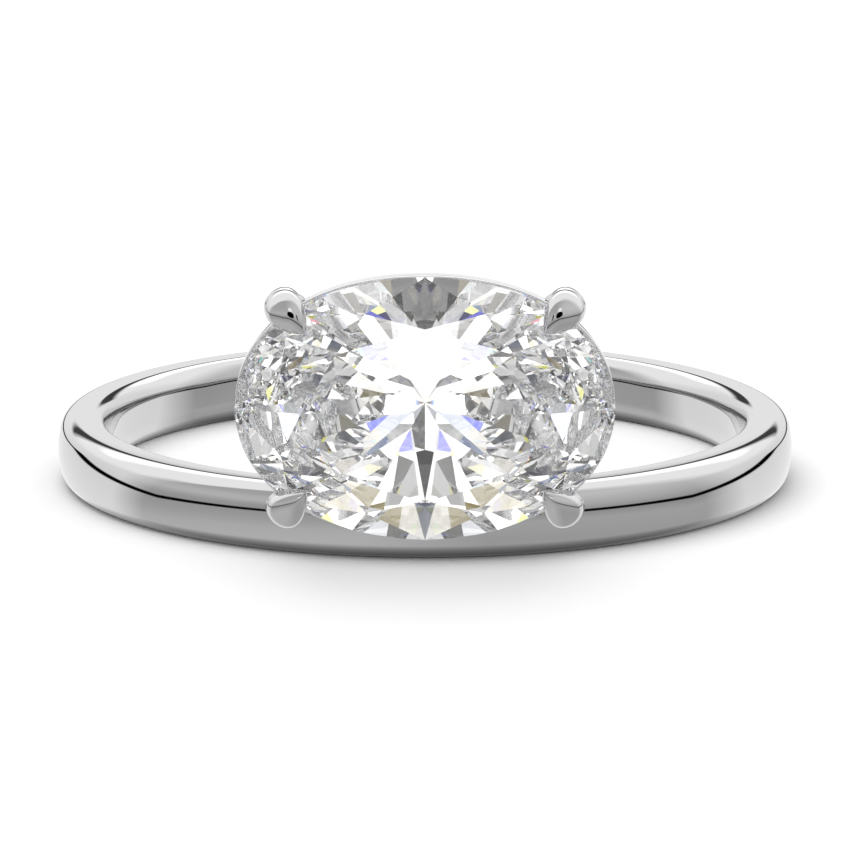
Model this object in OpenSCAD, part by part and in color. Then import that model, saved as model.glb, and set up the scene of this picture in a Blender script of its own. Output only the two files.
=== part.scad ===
// Oval engagement ring: a plain polished band that lies on its side, and an oval
// brilliant held across it by four claw prongs and a seat rail.
// The origin is the centre of the finger hole, halfway across the band's width.
// +Z runs along the finger, and the stone looks along -Y.

/* [Band] */
// Diameter of the finger hole
finger_d = 16.9; // [15:0.1:18]
// Thickness of the band, from the finger to its outer face
band_t = 1.34; // [1.2:0.01:1.8]
// Width of the band, along the finger
band_w = 1.76; // [1.6:0.02:2.2]
// Radius of the crown across the outer face
crown_r = 2.27; // [1.6:0.01:6]
// Radius that rounds the two outer edges
outer_edge_r = 0.44; // [0.2:0.01:0.6]
// Radius that rounds the two inner edges
inner_edge_r = 0.28; // [0.15:0.01:0.35]
// Width of the straight middle of the finger's wall
land_w = 0.52; // [0.2:0.02:0.6]
// Radius of the comfort curve from there to the inner edges
comfort_r = 0.96; // [0.8:0.01:4]

/* [Stone] */
// Length of the oval, across the finger
stone_l = 9.1; // [8.5:0.1:9.5]
// Width of the oval, along the finger
stone_w = 6.4; // [6:0.1:6.8]
// Width of the table, as a share of the oval
table_share = 0.654; // [0.5:0.002:0.68]
// Height of the crown above the girdle
crown_h = 0.748; // [0.65:0.002:1.1]
// Thickness of the girdle where the facets meet it
girdle_h = 0.1; // [0.08:0.01:0.3]
// Depth of the pavilion below the girdle
pavilion_h = 2.98; // [2.4:0.01:3.05]

/* [Place of the stone] */
// Distance of the girdle from the centre of the finger hole
stone_out = 12.6; // [12.4:0.1:13.2]
// Height of the stone's centre above the middle of the band
stone_up = 3.56; // [3.4:0.01:4]
// Clearance between the stone and the metal around it
seat_gap = 0.05; // [0.03:0.01:0.1]

/* [Claws and prongs] */
// Distance of a claw from the middle of the stone, across the finger
claw_x = 3.33; // [3:0.01:3.5]
// Distance of a claw from the middle of the stone, along the finger
claw_z = 2.43; // [2.3:0.01:2.6]
// Diameter of the round back of a claw
claw_d = 1.02; // [0.8:0.01:1.2]
// Diameter of a claw's point
point_d = 0.2; // [0.1:0.01:0.3]
// How far a claw's point reaches over the stone, across the finger
reach_x = 0.43; // [0.3:0.01:0.6]
// How far a claw's point reaches over the stone, along the finger
reach_z = 0.46; // [0.3:0.01:0.6]
// How far a claw's point stands in front of its round back
reach_out = 0.5; // [0.35:0.01:0.7]
// Diameter of a prong at its bend behind the claw
bend_d = 0.8; // [0.7:0.01:1]
// Diameter of a prong where it leaves the band
root_d = 0.9; // [0.7:0.01:1.1]

/* [Seat rail] */
// Width of the rail's outer wall
rail_w = 0.5; // [0.4:0.01:0.7]
// Thickness of the rail towards the middle of the stone
rail_t = 0.42; // [0.3:0.01:0.5]
// Distance of the rail's front edge behind the girdle plane
rail_back = 0.18; // [0.15:0.01:0.3]
// Fullness of the rail's outline, where 2 is an ellipse
rail_full = 2.15; // [2:0.05:2.4]

/* [Hidden] */
metal_colour = "gainsboro";
stone_colour = "lightcyan";
sides = [-1, 1];

// Band
finger_r = finger_d / 2;
band_r = finger_r + band_t;
half_w = band_w / 2;
crown_end = asin((half_w - outer_edge_r) / (crown_r - outer_edge_r));
outer_edge = [
    band_r - outer_edge_r - (crown_r - outer_edge_r) * (1 - cos(crown_end)),
    half_w - outer_edge_r
];
comfort_end = asin((half_w - inner_edge_r - land_w / 2) / (comfort_r - inner_edge_r));
inner_edge = [
    finger_r + comfort_r - (comfort_r - inner_edge_r) * cos(comfort_end),
    half_w - inner_edge_r
];

// Stone, worked out on a circle of radius 1 and then stretched to the oval
mains = 8;
main_angle = 360 / mains;
star_share = 0.817;
lower_share = 0.203;
overcut = 0.4;
girdle_sides = 96;

// Prongs, as places from the middle of the stone and the middle of the band
bend_back = 0.9;
bend_x = 3.1;
bend_z = 2.32;
root_r = finger_r + 0.6 * band_t;
root_x = [3.3, 2.9];
root_z = [0.25, 0.4];
joint_swell = 1.03;

// Rail
rail_n = 72;
rail_lean = 42;

function arc(centre, r, from, to, n) =
    [for (i = [0:n]) let (a = from + (to - from) * i / n) centre + r * [cos(a), sin(a)]];

// Upper half of the band's section, from the crown's middle over the side to the finger's wall
upper_section = concat(
    arc([band_r - crown_r, 0], crown_r, 0, crown_end, 6),
    arc(outer_edge, outer_edge_r, crown_end + 8, 90, 9),
    arc(inner_edge, inner_edge_r, 90, 180 - comfort_end, 8),
    arc([finger_r + comfort_r, land_w / 2], comfort_r, 182 - comfort_end, 180, 6)
);
lower_section = [
    for (i = [len(upper_section) - 1:-1:1]) [upper_section[i][0], -upper_section[i][1]]
];

module band() {
    rotate_extrude($fn = 96)
        polygon(concat(upper_section, lower_section));
}

// A point of the stone's circle, at an angle counted in main facets
function at(place, r, z) = [r * cos(place * main_angle), r * sin(place * main_angle), z];

// Height at which a side corner lies in the plane of its main facet, which runs straight from its
// tip to the girdle
function corner_height(tip_r, tip_z, corner_r, girdle_z) =
    tip_z + (girdle_z - tip_z) * (corner_r * cos(main_angle / 2) - tip_r) / (1 - tip_r);

// Rise along the middle of a main, for the plane of the half facet through the points a, b and c
function half_facet_rise(a, b, c) = let (n = cross(b - a, c - a)) -n[0] / n[2];

// One side of the stone with its facets carried out past the girdle and a flat back: a table or a
// pointed tip, side corners, and the points where the mains reach the girdle
module cut_side(tip_r, tip_z, corner_r, girdle_z, back_z) {
    corner_z = corner_height(tip_r, tip_z, corner_r, girdle_z);
    rise = half_facet_rise(at(0.5, corner_r, corner_z), at(0, 1, girdle_z), at(0.5, 1, girdle_z));
    corner_rise = (girdle_z - corner_z) / (1 - corner_r);
    rim_r = 1 + overcut;
    tips = tip_r > 0 ? [for (i = [1:mains]) at(i, tip_r, tip_z)] : [[0, 0, tip_z]];
    corners = [for (i = [1:mains]) at(i + 0.5, corner_r, corner_z)];
    ends = [for (i = [1:mains]) at(i, 1, girdle_z)];
    rim = [
        for (i = [1:mains])
        each [
            at(i, rim_r, girdle_z + rise * overcut),
            at(i + 0.5, rim_r, girdle_z + corner_rise * overcut)
        ]
    ];
    back = [for (p = rim) [p[0], p[1], back_z]];
    n = mains;
    m = 2 * mains;
    tip = [for (i = [0:n]) tip_r > 0 ? i % n : 0];
    corner = [for (i = [0:n]) len(tips) + (i + n - 1) % n];
    end = [for (i = [0:n]) len(tips) + n + i % n];
    edge = [for (i = [0:m]) len(tips) + m + i % m];
    foot = [for (i = [0:m]) len(tips) + 2 * m + i % m];
    table = tip_r > 0 ? [[for (i = [n - 1:-1:0]) tip[i]]] : [];
    stars = tip_r > 0 ? [for (i = [0:n - 1]) [tip[i], tip[i + 1], corner[i + 1]]] : [];
    kites = [for (i = [0:n - 1]) [tip[i], corner[i + 1], end[i], corner[i]]];
    halves = [
        for (i = [0:n - 1])
        each [
            [corner[i + 1], edge[2 * i + 1], edge[2 * i], end[i]],
            [corner[i + 1], end[i + 1], edge[2 * i + 2], edge[2 * i + 1]]
        ]
    ];
    walls = [for (i = [0:m - 1]) [edge[i], edge[i + 1], foot[i + 1], foot[i]]];
    bottom = [[for (i = [0:m - 1]) foot[i]]];
    polyhedron(
        concat(tips, corners, ends, rim, back),
        concat(table, stars, kites, halves, walls, bottom)
    );
}

// The stone looking along +Z with its girdle around the origin, made larger by grow all round
module cut_stone(grow = 0) {
    girdle_z = girdle_h / 2 + grow;
    scale([stone_l / 2 + grow, stone_w / 2 + grow, 1])
        intersection() {
            linear_extrude(4 * pavilion_h, center = true)
                circle(1, $fn = girdle_sides);
            cut_side(table_share, girdle_z + crown_h, star_share, girdle_z, -2 * pavilion_h);
            mirror([0, 0, 1])
                cut_side(0, girdle_z + pavilion_h, lower_share, girdle_z, -2 * pavilion_h);
        }
}

module place_stone() {
    translate([0, -stone_out, stone_up])
        rotate([90, 0, 0])
            children();
}

// A round bar from p to q that ends in a ball, which stands a little proud to make a clean joint
module bar(p, q, start_d, end_d) {
    run = q - p;
    translate(p)
        rotate([0, acos(run[2] / norm(run)), atan2(run[1], run[0])])
            cylinder(h = norm(run), d1 = start_d, d2 = end_d, $fn = 48);
    translate(q)
        sphere(d = end_d * joint_swell, $fn = 48);
}

// A prong and its claw, on the left or right side and at the lower or upper edge of the stone
module prong(side, upper) {
    rise = upper ? 1 : -1;
    back = [side * claw_x, -stone_out, stone_up + rise * claw_z];
    bend = [side * bend_x, bend_back - stone_out, stone_up + rise * bend_z];
    x = root_x[upper ? 1 : 0];
    root = [side * x, -sqrt(root_r * root_r - x * x), root_z[upper ? 1 : 0]];
    point = back + [-side * reach_x, -reach_out, -rise * reach_z];
    bar(root, bend, root_d, bend_d);
    bar(bend, back, bend_d, claw_d / joint_swell - 0.02);
    hull() {
        translate(back)
            sphere(d = claw_d, $fn = 26);
        translate(point)
            sphere(d = point_d, $fn = 26);
    }
}

// A point of the rail at an angle, out from the girdle's outline and behind the girdle plane
function rail_point(angle, out, back) =
    let (c = cos(angle), s = sin(angle), power = 2 / rail_full)
    [
        sign(c) * pow(abs(c), power) * (stone_l / 2 + out),
        sign(s) * pow(abs(s), power) * (stone_w / 2 + out),
        -back
    ];

module seat_rail() {
    deep = rail_t * tan(rail_lean);
    section = [
        [0, rail_back],
        [0, rail_back + rail_w],
        [-rail_t, rail_back + rail_w + deep / 2],
        [-rail_t, rail_back + deep]
    ];
    k = len(section);
    points = [
        for (i = [0:rail_n - 1], j = [0:k - 1])
        rail_point(360 * (i + 0.5) / rail_n, section[j][0], section[j][1])
    ];
    faces = [
        for (i = [0:rail_n - 1], j = [0:k - 1])
        let (next = (i + 1) % rail_n, turn = (j + 1) % k)
        [i * k + j, next * k + j, next * k + turn, i * k + turn]
    ];
    polyhedron(points, faces);
}

module oval_stone() {
    color(stone_colour)
        place_stone() cut_stone();
}

module band_and_setting() {
    color(metal_colour)
        union() {
            band();
            difference() {
                union() {
                    place_stone() seat_rail();
                    for (side = sides, upper = [false, true])
                        prong(side, upper);
                }
                place_stone() cut_stone(seat_gap);
            }
        }
}

band_and_setting();
oval_stone();
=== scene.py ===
# %% [markdown]
# # An oval engagement ring on a white table
#
# The ring is a plain polished band that lies on its side, with an oval diamond held across it by
# four claws and a thin seat rail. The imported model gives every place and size: this script dresses
# it. Lengths are worked out in millimetres, as a jeweller gives them, and turned to metres when
# they go into a mesh.

# %% Load the frame
import math

import bpy
import numpy as np
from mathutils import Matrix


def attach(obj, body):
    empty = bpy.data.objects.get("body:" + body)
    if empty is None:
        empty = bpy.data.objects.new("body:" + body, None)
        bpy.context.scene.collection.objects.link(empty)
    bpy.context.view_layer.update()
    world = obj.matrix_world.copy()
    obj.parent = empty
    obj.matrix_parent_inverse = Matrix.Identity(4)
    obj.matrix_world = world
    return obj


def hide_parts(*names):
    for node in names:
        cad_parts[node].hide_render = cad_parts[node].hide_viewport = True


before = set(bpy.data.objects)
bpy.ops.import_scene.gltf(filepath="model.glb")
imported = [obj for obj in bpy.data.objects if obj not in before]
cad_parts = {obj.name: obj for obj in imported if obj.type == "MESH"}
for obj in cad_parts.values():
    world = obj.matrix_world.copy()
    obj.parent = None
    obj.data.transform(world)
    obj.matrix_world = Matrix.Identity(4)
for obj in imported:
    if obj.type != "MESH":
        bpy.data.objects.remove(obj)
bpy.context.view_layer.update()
scene = bpy.context.scene
MM = 0.001
METAL_NODE = "band_and_setting"
STONE_NODE = "oval_stone"
print("pieces in the frame:", sorted(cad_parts))

# %% [markdown]
# ## Driving sizes
#
# A ring is ordered by its finger size and its stone. Everything below follows from the same few
# sizes as the solid model: the finger hole, the band's section, the stone's place, and how far a
# claw reaches over the stone.

# %% Sizes in millimetres
FINGER_R = 8.45
BAND_T = 1.34
BAND_W = 1.76
CROWN_R = 2.27
OUTER_EDGE_R = 0.44
INNER_EDGE_R = 0.28
LAND_W = 0.52
COMFORT_R = 0.96
# The stone's length and width, and its place out from the finger's axis and up from the band.
STONE_L, STONE_W = 9.1, 6.4
STONE_OUT, STONE_UP = 12.6, 3.56
# The claws' ends: their places beside the stone's middle, and how far they reach over the crown.
CLAW_X, CLAW_Z, CLAW_R = 3.33, 2.43, 0.51
REACH_X, REACH_Z, POINT_R = 0.43, 0.46, 0.1
# The wires' bends behind the girdle, and how deep in the band they start.
BEND_X, BEND_Z, BEND_BACK, BEND_R = 3.1, 2.32, 0.9, 0.4
ROOT_R = FINGER_R + 0.6 * BAND_T
FLOOR_Z = -BAND_W / 2
print("band outside diameter", 2 * (FINGER_R + BAND_T), "mm")

# %% [markdown]
# ## Surfaces from grids
#
# Every new piece here is made of grids of points worked out by a formula. One helper turns such
# grids into a mesh: neighbours in a grid are joined by four-sided faces, a direction that closes on
# itself is joined end to start, and an open end is closed by a fan of triangles.

# %% Grid to mesh
def grid_faces(points, wrap_rows, first):
    """The faces of one grid points[row, column] whose columns close on themselves, with numbers
    from first on. Rows that don't wrap are closed by a fan round the middle of the end row. Faces
    point outwards where going along a row and then down a column turns left, seen from outside."""
    rows, columns = points.shape[:2]
    index = first + np.arange(rows * columns).reshape(rows, columns)
    if wrap_rows:
        index = np.vstack([index, index[:1]])
    index = np.hstack([index, index[:, :1]])
    quads = np.stack([index[:-1, :-1], index[:-1, 1:], index[1:, 1:], index[1:, :-1]], axis=-1)
    faces = quads.reshape(-1, 4).tolist()
    flat = points.reshape(-1, 3)
    if not wrap_rows:
        pole = first + len(flat)
        flat = np.vstack([flat, points[0].mean(0), points[-1].mean(0)])
        start = np.stack([index[0, 1:], index[0, :-1], np.full(columns, pole)], axis=-1)
        end = np.stack([index[-1, :-1], index[-1, 1:], np.full(columns, pole + 1)], axis=-1)
        faces += start.tolist() + end.tolist()
    return flat, faces


def grid_mesh(name, grids, wrap_rows=False):
    """Makes one mesh object from a list of closed grids in millimetres."""
    points, faces = np.empty((0, 3)), []
    for grid in grids:
        more, new = grid_faces(grid, wrap_rows, len(points))
        points = np.vstack([points, more])
        faces += new
    mesh = bpy.data.meshes.new(name)
    mesh.from_pydata((points * MM).tolist(), [], faces)
    mesh.shade_smooth()
    piece = bpy.data.objects.new(name, mesh)
    scene.collection.objects.link(piece)
    print(name, "has", len(points), "points and", len(faces), "faces")
    return piece


def arc(centre, radius, start, end, count):
    """Points on a circle around centre, from the angle start to the angle end, in degrees."""
    a = np.radians(np.linspace(start, end, count))
    return np.stack([centre[0] + radius * np.cos(a), centre[1] + radius * np.sin(a)], axis=-1)

# %% [markdown]
# ## The band
#
# A band is drawn through a die or cast, and then turned on a lathe: one section carried round the
# finger. Its outer face is a low crown, and its edges are rounded. Its inside has a comfort fit: it
# is straight only in the middle and curves away towards the edges. It could be a profile under a
# screw modifier, but here the section's arcs are carried round the circle at once, so that no
# modifier has to be applied and every edge radius stays a named size.

# %% Carry the band's section round the finger
def band_section():
    """Half the section from the crown's middle to the finger's wall: four arcs, each of which starts
    in the direction in which the one before ends. Then the same points mirrored below the middle
    plane. The columns are radius and height."""
    half = BAND_W / 2
    crown_end = math.degrees(math.asin((half - OUTER_EDGE_R) / (CROWN_R - OUTER_EDGE_R)))
    drop = (CROWN_R - OUTER_EDGE_R) * (1 - math.cos(math.radians(crown_end)))
    outer_centre = (FINGER_R + BAND_T - OUTER_EDGE_R - drop, half - OUTER_EDGE_R)
    run = COMFORT_R - INNER_EDGE_R
    comfort_end = math.degrees(math.asin((half - INNER_EDGE_R - LAND_W / 2) / run))
    back_off = COMFORT_R - run * math.cos(math.radians(comfort_end))
    inner_centre = (FINGER_R + back_off, half - INNER_EDGE_R)
    crown = arc((FINGER_R + BAND_T - CROWN_R, 0), CROWN_R, 0, crown_end, 20)
    outer = arc(outer_centre, OUTER_EDGE_R, crown_end, 90, 28)[1:]
    inner = arc(inner_centre, INNER_EDGE_R, 90, 180 - comfort_end, 24)
    comfort = arc((FINGER_R + COMFORT_R, LAND_W / 2), COMFORT_R, 180 - comfort_end, 180, 12)[1:]
    upper = np.vstack([crown, outer, inner, comfort])
    lower = upper[:0:-1] * [1, -1]
    return np.vstack([upper, lower])


def make_band(turns=420):
    """Each section point, at a radius and a height, goes round a circle of that radius."""
    section = band_section()
    a = np.linspace(0, 2 * np.pi, turns, endpoint=False)[:, None]
    radius, height = section[:, 0], section[:, 1]
    points = np.stack([radius * np.sin(a), -radius * np.cos(a), height + 0 * a], axis=-1)
    return grid_mesh("band", [points[:, ::-1]], wrap_rows=True)


band = make_band()

# %% [markdown]
# ## The stone's facets as planes
#
# The claws and the rail are fitted round a stone that is already cut. The diamond is convex, so
# it is the space behind a set of flat planes, one for each facet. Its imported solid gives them.
# A point of metal that would lie in the stone is moved straight out through the nearest facet,
# which is what a setter's file does to the inside of a claw.

# %% Read the facet planes
SETTING_GAP = 0.03


def facet_planes(node):
    """The planes of a convex solid, as unit normals and distances from the origin in millimetres,
    one row for each direction that its triangles face."""
    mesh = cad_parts[node].data
    normals = np.empty(len(mesh.polygons) * 3, np.float32)
    centres = np.empty(len(mesh.polygons) * 3, np.float32)
    mesh.polygons.foreach_get("normal", normals)
    mesh.polygons.foreach_get("center", centres)
    normals, centres = normals.reshape(-1, 3), centres.reshape(-1, 3) / MM
    _, first = np.unique(normals.round(3), axis=0, return_index=True)
    normals, centres = normals[first], centres[first]
    return normals, (normals * centres).sum(1)


def clear_of_stone(points):
    """Points nearer to the stone than SETTING_GAP move out along the normal of the nearest facet.
    Three passes settle the points beside an edge between two facets."""
    shape = points.shape
    p = points.reshape(-1, 3).copy()
    for _ in range(3):
        height = p @ facet_normals.T - facet_offsets
        nearest = height.argmax(1)
        short = np.maximum(SETTING_GAP - height[np.arange(len(p)), nearest], 0)
        p += facet_normals[nearest] * short[:, None]
    return p.reshape(shape)


facet_normals, facet_offsets = facet_planes(STONE_NODE)
print("the stone has", len(facet_offsets), "facets")

# %% [markdown]
# ## The four claws
#
# Each claw starts as one round wire. It leaves the band, leans out to the corner of the stone and
# bends beside the girdle. The wire could be bevelled from a curve, but here a circle is carried
# along its path, so that its radius can change on the way.

# %% Carry a circle along each claw's path
BEND_RUN = 0.6
ROOT_WIRE_R = 0.45
# Each wire's start in the band: its distance from the middle and its height.
UPPER_ROOT, LOWER_ROOT = (2.9, 0.4), (3.3, 0.25)


def bent_path(start, corner, end, bend):
    """Two straight stretches with a round corner: a parabola that leaves each stretch at the length
    bend from the corner, worked out as corner + (1 - t)^2 * into + t^2 * out."""
    into = (start - corner) / np.linalg.norm(start - corner) * bend
    out = (end - corner) / np.linalg.norm(end - corner) * bend
    t = np.linspace(0, 1, 25)[:, None]
    straight = start + (corner + into - start) * np.linspace(0, 1, 12, endpoint=False)[:, None]
    curve = corner + (1 - t) ** 2 * into + t**2 * out
    last = corner + out + (end - corner - out) * np.linspace(0, 1, 6)[1:, None]
    return np.vstack([straight, curve, last])


def carry_circle(path, radius, sides=48):
    """A circle of the given radius round each point of the path, square to it. Each circle's first
    direction is the last one's with its part along the path taken out, so that the skin never
    twists."""
    tangent = np.gradient(path, axis=0)
    tangent /= np.linalg.norm(tangent, axis=1, keepdims=True)
    across = np.empty_like(path)
    guide = np.array([0.0, 0.0, 1.0])
    for i, along in enumerate(tangent):
        guide = guide - along * (guide @ along)
        guide /= np.linalg.norm(guide)
        across[i] = guide
    beside = np.cross(tangent, across)
    a = np.linspace(0, 2 * np.pi, sides, endpoint=False)[None, :, None]
    ring = np.cos(a) * across[:, None] + np.sin(a) * beside[:, None]
    return path[:, None] + radius[:, None, None] * ring


def claw_wire(side, rise, ball):
    """The wire's knots are its root in the band, its bend behind the girdle and the cap's middle.
    An upper wire thins evenly with height from its root to its bend. A lower one, which is short
    and hidden, has the bend's radius all along, 0.05 mm less at the root than the solid's."""
    root_x, root_z = UPPER_ROOT if rise > 0 else LOWER_ROOT
    root = np.array([side * root_x, -math.sqrt(ROOT_R**2 - root_x**2), root_z])
    bend = np.array([side * BEND_X, BEND_BACK - STONE_OUT, STONE_UP + rise * BEND_Z])
    path = bent_path(root, bend, ball, BEND_RUN)
    radius = np.full(len(path), BEND_R)
    if rise > 0:
        radius = np.interp(path[:, 2], [root_z, bend[2]], [ROOT_WIRE_R, BEND_R])
    return clear_of_stone(carry_circle(path, radius))

# %% [markdown]
# ### The claw's filed end
#
# The setter folds the end of the wire over the crown and files it to a drop with a point. It could
# be a ball and a cone, but a file leaves a domed face with a soft edge round it, and the narrow
# dark line that such an edge mirrors is what makes a claw look polished. So the drop is a teardrop
# outline carried over a dome and down a flank, and the whole leans towards its point.

# %% File each claw's end
DROP_POINT = 0.85
CAP_H, CAP_FULL = 0.42, 2.3
CAP_LEAN, CAP_FRONT, CAP_MORE = 0.3, 0.1, 0.1
CAP_TOP = 0.9
DOME_FROM, DOME_ROWS = 3, 40
POINT_POWER = 1.5
# The flank and the round back, row by row: share of the outline's size, depth behind the dome.
CAP_FLANK = [
    [0.925, 0.04], [0.95, 0.09], [0.965, 0.14], [0.965, 0.19],
    [0.93, 0.26], [0.83, 0.34], [0.64, 0.41], [0.4, 0.45],
]


def cap(ball, side, rise, sides=120):
    """The filed end of a claw. Seen from the front its outline is a teardrop: along the line from
    the ball to the point it runs as cos(t) and across it as sin(t) * sin(t/2)^DROP_POINT. The rows
    are that outline at a share of its size: a dome, sin(a) and cos(a) to the power 2 / CAP_FULL,
    then the flank. What a flank row has over CAP_TOP counts in full at the round end and not at all
    at the point. Near the top of the dome the outline turns into a circle, so that the face has no
    ridge: the drop's share is the row's size to the power POINT_POWER. The cap leans forward
    towards its point by CAP_LEAN for each millimetre."""
    toward = -np.array([side * REACH_X, rise * REACH_Z])
    reach = np.linalg.norm(toward) + POINT_R + CAP_MORE
    toward /= np.linalg.norm(toward)
    across = np.array([-toward[1], toward[0]])
    t = np.linspace(0, 2 * np.pi, sides, endpoint=False)
    along = (np.cos(t) + 1) / 2 * (CLAW_R + reach) - CLAW_R
    beside = np.sin(t) * np.sin(t / 2) ** DROP_POINT
    beside *= CLAW_R / beside.max()
    a = np.radians(np.linspace(DOME_FROM, 90, DOME_ROWS))
    dome = np.stack([np.sin(a) ** (2 / CAP_FULL), -CAP_H * np.cos(a) ** (2 / CAP_FULL)], axis=-1)
    rows = np.vstack([dome * [CAP_TOP, 1], CAP_FLANK])
    back_share = 1 - (along + CLAW_R) / (CLAW_R + reach)
    size = rows[:, :1] + np.maximum(rows[:, :1] - CAP_TOP, 0) * (back_share - 1)
    point = np.minimum(size / CAP_TOP, 1) ** POINT_POWER
    along = size * ((1 - point) * CLAW_R * np.cos(t) + point * along)
    beside = size * ((1 - point) * CLAW_R * np.sin(t) + point * beside)
    plan = along[..., None] * toward + beside[..., None] * across
    y = ball[1] - CAP_FRONT + rows[:, 1:] - CAP_LEAN * along
    grid = np.stack([ball[0] + plan[..., 0], y, ball[2] + plan[..., 1]], axis=-1)
    return clear_of_stone(grid[:, ::-1])


def make_claw(side, rise):
    """One wire and the cap at its end, joined in one piece."""
    ball = np.array([side * CLAW_X, -STONE_OUT, STONE_UP + rise * CLAW_Z])
    name = f"claw_{'upper' if rise > 0 else 'lower'}_{'right' if side > 0 else 'left'}"
    return grid_mesh(name, [claw_wire(side, rise, ball), cap(ball, side, rise)])


claws = [make_claw(side, rise) for rise in (-1, 1) for side in (-1, 1)]

# %% [markdown]
# ## The seat rail
#
# The rail is a thin oval wire just behind the girdle. The stone's pavilion rests on its slanted
# inner face. Its outline is a superellipse, a little fuller than the oval, and its section has
# four rounded corners. It could be a curve with a bevel, but a section given corner by corner
# keeps the slant of the inner face.

# %% Carry the rail's section round the stone
RAIL_W, RAIL_T, RAIL_BACK, RAIL_FULL, RAIL_LEAN = 0.5, 0.42, 0.18, 2.15, 42
RAIL_EDGE_R = 0.1


def rail_section():
    """The rail's four corners, each rounded by a small parabola that leaves both sides at RAIL_EDGE_R
    from the corner. The columns are the distance out from the girdle's outline and the distance
    behind the girdle plane."""
    deep = RAIL_T * math.tan(math.radians(RAIL_LEAN))
    corners = np.array([
        [0, RAIL_BACK],
        [0, RAIL_BACK + RAIL_W],
        [-RAIL_T, RAIL_BACK + RAIL_W + deep / 2],
        [-RAIL_T, RAIL_BACK + deep],
    ])
    t = np.linspace(0, 1, 7)[:, None]
    parts = []
    for before, corner, after in zip(np.roll(corners, 1, 0), corners, np.roll(corners, -1, 0)):
        a = corner + (before - corner) / np.linalg.norm(before - corner) * RAIL_EDGE_R
        b = corner + (after - corner) / np.linalg.norm(after - corner) * RAIL_EDGE_R
        parts.append((1 - t) ** 2 * a + 2 * t * (1 - t) * corner + t**2 * b)
    return np.vstack(parts)


def make_rail(turns=360):
    """The rail's section is carried round the superellipse |x|^n + |y|^n = 1, stretched to the
    stone's outline."""
    section = rail_section()
    a = np.linspace(0, 2 * np.pi, turns, endpoint=False)[:, None]
    c, s = np.cos(a), np.sin(a)
    power = 2 / RAIL_FULL
    x = np.sign(c) * np.abs(c) ** power * (STONE_L / 2 + section[:, 0])
    z = np.sign(s) * np.abs(s) ** power * (STONE_W / 2 + section[:, 0])
    y = section[:, 1] + 0 * a
    points = np.stack([x, y - STONE_OUT, z + STONE_UP], axis=-1)
    return grid_mesh("seat_rail", [clear_of_stone(points)], wrap_rows=True)


rail = make_rail()

# %% [markdown]
# ## Polished white gold
#
# Polished white gold is a mirror with a faint grey cast. What gives it its look is what it reflects,
# so the material is plain and the studio does the work. Its roughness changes very little over the
# surface, as the polishing wheel leaves it. The seat rail is cut bright with a graver before the
# stone is set. Its copy of the same metal is given a lighter tone, a painted sheen, so that it gives
# back more light than the rest.

# %% Metal
# The rail's lighter tone is a painted sheen on the same white gold, not a different alloy.
BUFFED, RAIL_PAINTED_SHEEN = 0.65, 0.84
COOL_CAST = 1.008
WHEEL_GRAIN, SMOOTHEST, ROUGHEST = 900, 0.02, 0.05


def new_material(name):
    material = bpy.data.materials.new(name)
    material.use_nodes = True
    return material, material.node_tree, material.node_tree.nodes["Principled BSDF"]


def polished_gold(name, tone):
    """A mirror of the given tone, with a little more blue, whose roughness follows a fine noise."""
    material, tree, shader = new_material(name)
    shader.inputs["Base Color"].default_value = (tone, tone, COOL_CAST * tone, 1)
    shader.inputs["Metallic"].default_value = 1
    place = tree.nodes.new("ShaderNodeTexCoord")
    noise = tree.nodes.new("ShaderNodeTexNoise")
    noise.inputs["Scale"].default_value = WHEEL_GRAIN
    spread = tree.nodes.new("ShaderNodeMapRange")
    spread.inputs["To Min"].default_value = SMOOTHEST
    spread.inputs["To Max"].default_value = ROUGHEST
    tree.links.new(place.outputs["Object"], noise.inputs["Vector"])
    tree.links.new(noise.outputs["Fac"], spread.inputs["Value"])
    tree.links.new(spread.outputs["Result"], shader.inputs["Roughness"])
    return material


gold = polished_gold("polished_white_gold", BUFFED)
# The seat rail's copy of the metal is lighter: a painted sheen.
rail_gold_painted_sheen = polished_gold("white_gold_painted_sheen", RAIL_PAINTED_SHEEN)
for piece in [band, rail] + claws:
    piece.data.materials.append(rail_gold_painted_sheen if piece is rail else gold)
    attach(piece, "root")
    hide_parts(METAL_NODE)
    piece.visible_shadow = piece is band
print("the metal is drawn by", 2 + len(claws), "pieces, and only the band casts a shadow")

# %% [markdown]
# ## The diamond
#
# Diamond bends light more than any other clear stone, and its facets are flat and sharp. The
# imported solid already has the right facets, so it stays, and only its material is new. A clear
# stone would need its focused light traced to cast a true shadow, so it casts none.

# %% Diamond
def diamond():
    material, tree, shader = new_material("diamond")
    shader.inputs["Base Color"].default_value = (1, 1, 1, 1)
    shader.inputs["Roughness"].default_value = 0
    shader.inputs["IOR"].default_value = 2.42
    shader.inputs["Transmission Weight"].default_value = 1
    return material


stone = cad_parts[STONE_NODE]
stone_material = diamond()
for slot in stone.material_slots:
    slot.material = stone_material
stone.visible_shadow = False
print("the stone has", len(stone.material_slots), "material slot")

# %% [markdown]
# ## Helpers for node maths
#
# The studio's light is worked out from directions, and that takes many small sums. In Blender a sum
# is a Math node, so a few helpers add such a node, join its inputs and give back its output. Long
# formulas can then be read as formulas.

# %% Node maths
def maths(tree, operation, *values, clamp=False):
    """A Math node. Each value is a number or another node's output."""
    node = tree.nodes.new("ShaderNodeMath")
    node.operation = operation
    node.use_clamp = clamp
    for socket, value in zip(node.inputs, values):
        if isinstance(value, (int, float)):
            socket.default_value = value
        else:
            tree.links.new(value, socket)
    return node.outputs[0]


def between(tree, value, low, high):
    """0 at low, 1 at high and a straight slope from one to the other."""
    return maths(tree, "DIVIDE", maths(tree, "SUBTRACT", value, low), high - low, clamp=True)


def blend(tree, share, a, b):
    """a where share is 0 and b where it is 1."""
    return maths(tree, "ADD", a, maths(tree, "MULTIPLY", share, maths(tree, "SUBTRACT", b, a)))


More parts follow.
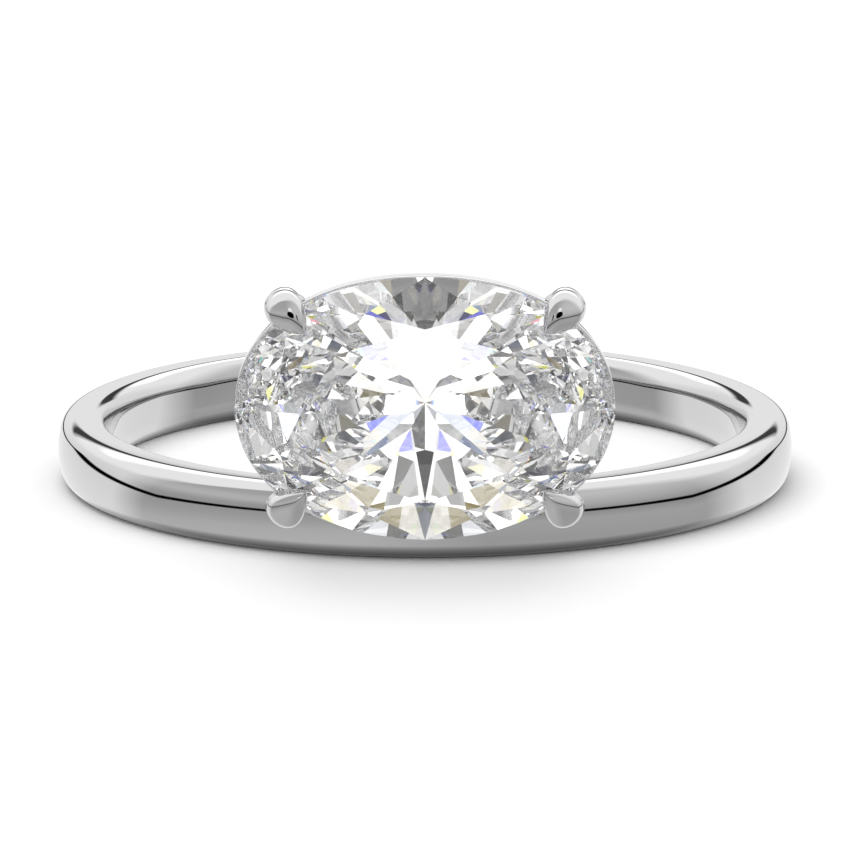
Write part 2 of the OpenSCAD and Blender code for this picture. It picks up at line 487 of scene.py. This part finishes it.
def mix_shaders(tree, share, a, b):
    """The shader a where share is 0 and b where it is 1."""
    node = tree.nodes.new("ShaderNodeMixShader")
    for value, socket in zip((share, a, b), node.inputs):
        tree.links.new(value, socket)
    return node.outputs[0]


def painted_dark_up_close(tree, start, end):
    """Painted shade: black to rays shorter than start, clear to rays longer than end, in millimetres.
    """
    length = tree.nodes.new("ShaderNodeLightPath").outputs["Ray Length"]
    black = tree.nodes.new("ShaderNodeEmission")
    black.inputs["Strength"].default_value = 0
    clear = tree.nodes.new("ShaderNodeBsdfTransparent")
    share = between(tree, length, start * MM, end * MM)
    return mix_shaders(tree, share, black.outputs[0], clear.outputs[0])


def flat_prop(name, corners):
    """A flat thing in the studio with one face, from its corners in millimetres."""
    mesh = bpy.data.meshes.new(name)
    mesh.from_pydata((corners * MM).tolist(), [], [list(range(len(corners)))])
    prop = bpy.data.objects.new(name, mesh)
    scene.collection.objects.link(prop)
    return prop

# %% [markdown]
# ## The table
#
# The ring lies on a matt white table. Real polished metal mirrors the table too, and there a
# photographer tunes the grey with paper. Here the mirrored table is part of the painted studio below.
# In the metal the table shows only as painted contact shade: a dark line where the two touch.

# %% Table
TABLE_HALF = 1500
TABLE_WHITE = 0.85
# Painted contact shade: how far from the table, in millimetres, mirrored rays still see it dark.
PAINTED_SHADE_REACH = 0.6


def table():
    """A square, matt white. To mirrored rays it is painted contact shade instead: black up close to
    the metal, fading to clear at the contact shade's reach, and clear beyond it."""
    corners = TABLE_HALF * np.array([[-1, -1], [1, -1], [1, 1], [-1, 1]])
    piece = flat_prop("table", np.column_stack([corners, np.full(4, FLOOR_Z)]))
    material, tree, shader = new_material("table_white")
    shader.inputs["Base Color"].default_value = (TABLE_WHITE, TABLE_WHITE, TABLE_WHITE, 1)
    shader.inputs["Roughness"].default_value = 1
    shader.inputs["Specular IOR Level"].default_value = 0
    mirrored = tree.nodes.new("ShaderNodeLightPath").outputs["Is Glossy Ray"]
    # Mirrored rays see painted contact shade in place of the white table.
    seen = mix_shaders(tree, mirrored, shader.outputs[0], painted_dark_up_close(tree, 0, PAINTED_SHADE_REACH))
    tree.links.new(seen, tree.nodes["Material Output"].inputs["Surface"])
    piece.data.materials.append(material)
    piece.visible_transmission = False


table()
print("the table lies at", FLOOR_Z, "mm")

# %% [markdown]
# ## What the metal sees
#
# A polished ring is a picture of its studio. This one has grey walls ahead of the ring, the left
# one with a sharp upper edge and the right one with a soft one, a horizon that is a thin dark line,
# a white disc above the lens, large white panels overhead and behind, and one dark gap low at the
# very back. A jeweller's photograph needs such dark lines: they draw the edge of every curve. The
# studio could be built of boards and lamps, but here it is painted on the world's sphere, where
# each edge is one number.

# %% Light that the metal sees
# The walls' brightness at each height angle, from the bottom to the top, in degrees.
LEFT = [
    (-90, 0.6), (-30, 0.63), (-20, 0.6), (-11, 0.5), (-4, 0.45), (-2.7, 0.44), (-2.4, 0.0),
    (0.0, 0.0), (0.3, 0.42), (4, 0.45), (10, 0.66), (22, 0.56), (30, 0.53), (90, 0.53),
]
RIGHT = [
    (-90, 0.5), (-30, 0.47), (-20, 0.5), (-10, 0.52), (-4, 0.42), (-2.7, 0.4), (-2.4, 0.0),
    (0.0, 0.0), (0.3, 0.42), (5.6, 0.56), (13.5, 0.70), (28, 0.77), (40, 0.75), (90, 0.6),
]
BACK = [
    (-90, 0.9), (-30, 0.95), (-20, 1.0), (-4, 0.95), (-2.7, 0.9), (-2.4, 0.0), (0.0, 0.0),
    (0.3, 0.9), (5, 0.96), (12, 1.0), (20, 1.17), (25, 1.19), (90, 1.19),
]
GAP = [(-90, 1), (13, 1), (15.5, 0.06), (25, 0.04), (30, 1), (90, 1)]
HORIZON_RISE = 7 / 180
MIDDLE = (-0.3, 0.3)
EDGE_SLOPE = 0.5
LEFT_EDGE_LOW, LEFT_EDGE_HIGH, RIGHT_EDGE = (0.0, 0.27), (0.02, 0.1), (0.0, 0.35)
HARD_FROM = (0.38, 0.52)
PANEL_BACK, PANEL_UP, PANEL_LIGHT = (0.5, 0.66), (0.44, 0.52), 1.8
DISC_Y, DISC_Z, DISC_RIM, DISC_LIGHT = -0.898, 0.44, (0.985, 0.99), 1.2
GAP_BACK = (0.84, 0.9)


def ramp(tree, share, stops):
    """The light at each height angle, from stops of degrees and brightness."""
    node = tree.nodes.new("ShaderNodeValToRGB")
    elements = node.color_ramp.elements
    while len(elements) < len(stops):
        elements.new(0.5)
    for element, (at, value) in zip(elements, stops):
        element.position = at / 180 + 0.5
        element.color = (value, value, value, 1)
    tree.links.new(share, node.inputs["Fac"])
    return maths(tree, "ADD", node.outputs["Color"], 0)


def metal_light(tree, direction):
    """The light from a direction x, y, z. The height angle arcsin(z) reads the walls' tables. The
    walls end where y + EDGE_SLOPE z is 0, and the white panels start there."""
    parts = tree.nodes.new("ShaderNodeSeparateXYZ")
    tree.links.new(direction, parts.inputs[0])
    x, y, z = parts.outputs
    sideways = maths(tree, "SUBTRACT", 1, maths(tree, "ABSOLUTE", y))
    rise = maths(tree, "MULTIPLY", sideways, HORIZON_RISE)
    height = maths(tree, "MULTIPLY_ADD", maths(tree, "ARCSINE", z), 1 / math.pi, 0.5)
    up = maths(tree, "ADD", height, rise)
    right = between(tree, x, *MIDDLE)
    front = blend(tree, right, ramp(tree, up, LEFT), ramp(tree, up, RIGHT))
    edge = maths(tree, "MULTIPLY_ADD", z, EDGE_SLOPE, y)
    low_edge = between(tree, edge, *LEFT_EDGE_LOW)
    high_edge = between(tree, edge, *LEFT_EDGE_HIGH)
    left_edge = blend(tree, between(tree, z, *HARD_FROM), low_edge, high_edge)
    behind = blend(tree, right, left_edge, between(tree, edge, *RIGHT_EDGE))
    light = blend(tree, behind, front, ramp(tree, up, BACK))
    panel = maths(tree, "MULTIPLY", between(tree, y, *PANEL_BACK), between(tree, z, *PANEL_UP))
    light = blend(tree, panel, light, PANEL_LIGHT)
    disc = maths(tree, "MULTIPLY_ADD", z, DISC_Z, maths(tree, "MULTIPLY", y, DISC_Y))
    light = blend(tree, between(tree, disc, *DISC_RIM), light, DISC_LIGHT)
    gap = blend(tree, between(tree, y, *GAP_BACK), 1.0, ramp(tree, up, GAP))
    return maths(tree, "MULTIPLY", light, gap)


print("the walls' light is set at", len(LEFT) + len(RIGHT) + len(BACK), "heights")

# %% [markdown]
# ## What the stone sees
#
# A diamond is judged by what comes back out of it. In an even room it is grey, so jewellers light
# it in a white tent: cloth on dark posts and hoops, with soft round lights and black flags around
# it. Each facet shows one small part of the tent. Blue light is bent more than red, so each colour
# leaves in its own direction. That could be made with three stones of three refractive indices,
# but here each colour looks up the same tent in a slightly different direction, which gives the
# same coloured edges without noise.

# %% The tent around the stone
# Each light or flag is given by its angle round from the front, its height angle, its radius, all in
# degrees, and the brightness that it adds. It stands on the left and the right alike.
LIGHTS = [
    (29, 9, 26, 0.49), (77, -1, 17, 0.71), (167, 38, 17, 0.62), (10, -9, 11, 1.39),
    (152, 5, 11, 0.49), (72, 19, 11, 0.68), (25, -81, 7, 1.84), (171, -52, 7, 1.7),
    (49, -12, 7, 0.76), (63, -37, 7, 1.25), (165, -27, 7, 0.85), (56, 9, 7, 0.9),
    (25, -17, 7, 1.16), (77, -17, 7, 0.8), (15, -29, 7, 0.8),
]
FLAGS = [
    (9, 51, 17, -0.59), (49, 30, 17, -0.54), (48, -69, 11, -0.85), (5, -24, 11, -0.54),
    (9, -9, 7, -1.47), (11, 53, 7, -1.16), (32, -21, 7, -1.12), (2, 36, 7, -0.71),
    (174, 10, 7, -0.59),
]
CLOTH, FRAME = 0.68, 0.6
SOFT_EDGE = 8
POSTS, POST_HALF, FIRST_POST = 31.0, 2.7, 26.6
HOOPS, HOOP_HALF, FIRST_HOOP = 38.4, 2.4, -15.7
CONTRAST, MID_LIGHT = 1.22, 0.62
DARKEST, BRIGHTEST = 0.02, 1.8


def degrees(group, operation, *values):
    return maths(group, "DEGREES", maths(group, operation, *values))


def angle_from(group, direction, around, height):
    """The angle in degrees between a direction and the one at the given angles."""
    a, h = math.radians(around), math.radians(height)
    centre = (math.sin(a) * math.cos(h), -math.cos(a) * math.cos(h), math.sin(h))
    node = group.nodes.new("ShaderNodeVectorMath")
    node.operation = "DOT_PRODUCT"
    node.inputs[1].default_value = centre
    group.links.new(direction, node.inputs[0])
    return degrees(group, "ARCCOSINE", node.outputs["Value"])


def near_line(group, angle, spacing, first, half):
    """1 within half of the lines that lie at first and at every spacing from there."""
    turn = maths(group, "SUBTRACT", angle, first - spacing / 2)
    off = maths(group, "SUBTRACT", maths(group, "FLOORED_MODULO", turn, spacing), spacing / 2)
    return maths(group, "LESS_THAN", maths(group, "ABSOLUTE", off), half)


def stone_surroundings():
    """A node group that gives the tent's brightness in a direction. The left half is the right
    half mirrored: it reads |x| in the place of x."""
    group = bpy.data.node_groups.new("stone_surroundings", "ShaderNodeTree")
    group.interface.new_socket("Direction", in_out="INPUT", socket_type="NodeSocketVector")
    group.interface.new_socket("Light", in_out="OUTPUT", socket_type="NodeSocketFloat")
    start = group.nodes.new("NodeGroupInput")
    end = group.nodes.new("NodeGroupOutput")
    unit = group.nodes.new("ShaderNodeVectorMath")
    unit.operation = "NORMALIZE"
    group.links.new(start.outputs[0], unit.inputs[0])
    parts = group.nodes.new("ShaderNodeSeparateXYZ")
    group.links.new(unit.outputs[0], parts.inputs[0])
    x, y, z = parts.outputs
    both = group.nodes.new("ShaderNodeCombineXYZ")
    side = maths(group, "ABSOLUTE", x)
    for value, socket in zip((side, y, z), both.inputs):
        group.links.new(value, socket)
    light = maths(group, "ADD", CLOTH, 0)
    for around, height, radius, more in LIGHTS + FLAGS:
        off = angle_from(group, both.outputs[0], around, height)
        inside = between(group, off, radius + SOFT_EDGE / 2, radius - SOFT_EDGE / 2)
        light = maths(group, "MULTIPLY_ADD", inside, more, light)
    around = degrees(group, "ARCTAN2", side, maths(group, "MULTIPLY", y, -1))
    posts = near_line(group, around, POSTS, FIRST_POST, POST_HALF)
    hoops = near_line(group, degrees(group, "ARCSINE", z), HOOPS, FIRST_HOOP, HOOP_HALF)
    light = maths(group, "MULTIPLY_ADD", maths(group, "MAXIMUM", posts, hoops), -FRAME, light)
    light = maths(group, "MULTIPLY_ADD", light, CONTRAST, (1 - CONTRAST) * MID_LIGHT)
    light = maths(group, "MINIMUM", maths(group, "MAXIMUM", light, DARKEST), BRIGHTEST)
    group.links.new(light, end.inputs[0])
    return group


print("each half of the tent has", len(LIGHTS), "lights and", len(FLAGS), "flags")

# %% [markdown]
# ### The fire, and the window above the lens
#
# The tent has a round window at the front, above the lens. Its left half is curtained and its right
# half is bright. The rest of the tent is the same on both sides, and without the window the stone's
# left and right halves would look too much alike. The window is white light, so it isn't split into
# colours.

# %% Three colours look into the tent
FIRE_ACROSS, FIRE_UP = 0.04, 0.015
FIRE_STEPS = (0.35, 0, -1)
WINDOW_UP, WINDOW_R = 30.5, 12
CURTAIN, WINDOW_LIGHT = 0.1, 1.4


def stone_light(tree, direction):
    """Red, green and blue each look the step in FIRE_STEPS further out or in: x is stretched by
    FIRE_ACROSS and z by FIRE_UP for a whole step. The window is the same for the three."""
    group = stone_surroundings()
    colour = tree.nodes.new("ShaderNodeCombineColor")
    parts = tree.nodes.new("ShaderNodeSeparateXYZ")
    tree.links.new(direction, parts.inputs[0])
    window = maths(tree, "LESS_THAN", angle_from(tree, direction, 0, WINDOW_UP), WINDOW_R)
    on_right = maths(tree, "GREATER_THAN", parts.outputs[0], 0)
    halves = maths(tree, "MULTIPLY_ADD", on_right, WINDOW_LIGHT - CURTAIN, CURTAIN)
    for channel, step in enumerate(FIRE_STEPS):
        spread = tree.nodes.new("ShaderNodeVectorMath")
        spread.operation = "MULTIPLY"
        spread.inputs[1].default_value = (1 + step * FIRE_ACROSS, 1, 1 + step * FIRE_UP)
        tree.links.new(direction, spread.inputs[0])
        seen = tree.nodes.new("ShaderNodeGroup")
        seen.node_tree = group
        tree.links.new(spread.outputs[0], seen.inputs[0])
        tree.links.new(blend(tree, window, seen.outputs[0], halves), colour.inputs[channel])
    print("the stone's surroundings have", len(group.nodes), "nodes")
    return colour.outputs[0]

# %% [markdown]
# ## The studio's world
#
# Blender's world can answer each kind of ray in its own way. A mirrored ray gets the metal's
# studio, a ray that has passed through the stone gets the tent, and every other ray gets plain
# white, which is the background of the picture and the soft light on the table.

# %% World
def studio():
    """Chooses between the three lights by the Light Path node."""
    world = bpy.data.worlds.new("studio")
    scene.world = world
    world.use_nodes = True
    tree = world.node_tree
    direction = tree.nodes.new("ShaderNodeTexCoord").outputs["Generated"]
    path = tree.nodes.new("ShaderNodeLightPath")
    plain, metal, clear = (tree.nodes.new("ShaderNodeBackground") for _ in range(3))
    plain.inputs["Color"].default_value = (1, 1, 1, 1)
    tree.links.new(metal_light(tree, direction), metal.inputs["Color"])
    tree.links.new(stone_light(tree, direction), clear.inputs["Color"])
    seen = mix_shaders(tree, path.outputs["Is Glossy Ray"], plain.outputs[0], metal.outputs[0])
    seen = mix_shaders(tree, path.outputs["Is Transmission Ray"], seen, clear.outputs[0])
    tree.links.new(seen, tree.nodes["World Output"].inputs["Surface"])
    print("the studio has", len(tree.nodes), "nodes")


studio()

# %% [markdown]
# ## Black cards: a painted dark reflection
#
# A round polished claw shows its whole studio at once, with the dark lens in the middle of it. A
# large dark lens would also turn the band's flat side black from behind. So a small black card stands
# close before each upper claw in its place and paints the lens's dark reflection onto that claw. Only
# a mirrored ray that starts nearby sees it, so it is no real flag and casts no shade.

# %% Painted dark reflections before the upper claws
LOOK_DOWN = 12.2
CARD_AWAY, CARD_WIDE, CARD_HIGH = 8.0, 2.2, 1.3
CARD_UP = math.radians(LOOK_DOWN)
CARD_BLACK, CARD_CLEAR = 1.2, 1.3
CAP_FACE = 0.5


def painted_lens_reflection_card(side):
    """An ellipse square to the line from a claw to the camera, CARD_AWAY from the claw's face. It
    paints a dark reflection on the claw. It is black to rays up to CARD_BLACK times that length and
    clear from CARD_CLEAR times it."""
    a = np.linspace(0, 2 * np.pi, 32, endpoint=False)[:, None]
    face = np.array([side * CLAW_X, -STONE_OUT - CAP_FACE, STONE_UP + CLAW_Z])
    centre = face + CARD_AWAY * np.array([0, -math.cos(CARD_UP), math.sin(CARD_UP)])
    upright = np.array([0, math.sin(CARD_UP), math.cos(CARD_UP)])
    corners = centre + CARD_WIDE * np.cos(a) * [1, 0, 0] + CARD_HIGH * np.sin(a) * upright
    card = flat_prop("painted_lens_reflection_card", corners)
    material, tree, shader = new_material("painted_lens_reflection_card")
    tree.nodes.remove(shader)
    seen = painted_dark_up_close(tree, CARD_BLACK * CARD_AWAY, CARD_CLEAR * CARD_AWAY)
    tree.links.new(seen, tree.nodes["Material Output"].inputs["Surface"])
    card.data.materials.append(material)
    card.visible_camera = card.visible_diffuse = False
    card.visible_transmission = card.visible_shadow = False
    print("black card at", centre.round(1), "mm")


# Each card paints a dark reflection onto one upper claw.
for side in (-1, 1):
    painted_lens_reflection_card(side)

# %% [markdown]
# ## The lamp
#
# The white world alone lights the table from all sides. One large round lamp, high up and a little
# behind and to the left, lays the band's soft shadow to the right and towards the camera. It isn't
# seen in the metal or the stone, which have their own studio. Its place and width are in metres.

# %% Fill light on the table
LAMP_PLACE, LAMP_DIAMETER, LAMP_POWER = (-0.16, 0.15, 0.5), 0.5, 1.25


def overhead_fill():
    light = bpy.data.lights.new("overhead_fill", "AREA")
    light.shape = "DISK"
    light.size = LAMP_DIAMETER
    light.energy = LAMP_POWER
    lamp = bpy.data.objects.new("overhead_fill", light)
    lamp.location = LAMP_PLACE
    lamp.visible_glossy = False
    lamp.visible_transmission = False
    lamp.visible_camera = False
    scene.collection.objects.link(lamp)
    print("lamp of", light.energy, "W at", LAMP_PLACE)


overhead_fill()

# %% [markdown]
# ## The camera
#
# The picture looks down at the ring by 12 degrees and from close by, with a long lens. Light is
# followed through many reflections, because it bounces in a diamond many times before it leaves.
# The camera's place is in metres.

# %% Camera
BOUNCES = 40
CAMERA_PLACE = (0, -0.11781, 0.02592)
camera_data = bpy.data.cameras.new("camera")
camera_data.sensor_width = 36
camera_data.lens = 190.8
camera_data.clip_start = 0.005
camera_data.clip_end = 10
camera = bpy.data.objects.new("camera", camera_data)
camera.location = CAMERA_PLACE
camera.rotation_euler = (math.radians(90 - LOOK_DOWN), 0, 0)
scene.collection.objects.link(camera)
scene.camera = camera
scene.view_settings.view_transform = "Standard"
scene.cycles.max_bounces = BOUNCES
scene.cycles.transmission_bounces = BOUNCES
scene.cycles.glossy_bounces = BOUNCES
print("camera at", CAMERA_PLACE, "m")
